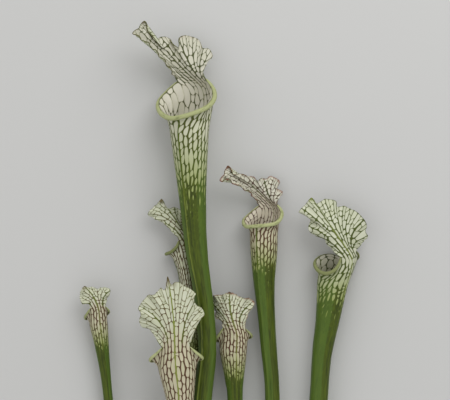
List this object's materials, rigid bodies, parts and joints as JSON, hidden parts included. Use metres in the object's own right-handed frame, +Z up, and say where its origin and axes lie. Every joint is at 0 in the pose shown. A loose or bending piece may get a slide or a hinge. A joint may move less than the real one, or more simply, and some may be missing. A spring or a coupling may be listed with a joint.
{
  "type": "white-topped pitcher plant",
  "caption": "Carnivorous bog plant laid flat: slender green pitcher leaves with white, net-veined, frilled lids, standing on a creeping rhizome with roots.",
  "frame": {"origin": "middle of the plant's footprint, on the surface it lies on", "axes": "+Y from the roots to the pitchers' tops, +Z up from the surface, towards the side that is looked at"},
  "size_m": [0.2153, 0.4759, 0.0487],
  "materials": {
    "leaf": "satin, white between green veins at the top and olive green below",
    "rhizome": "rough brown bark"
  },
  "bodies": {
    "root": {"tall_pitcher": "leaf", "hidden_pitcher": "leaf", "front_pitcher": "leaf", "low_pitcher": "leaf", "middle_pitcher": "leaf", "right_pitcher": "leaf", "left_pitcher": "leaf", "rhizome": "rhizome"}
  },
  "joints": []
}
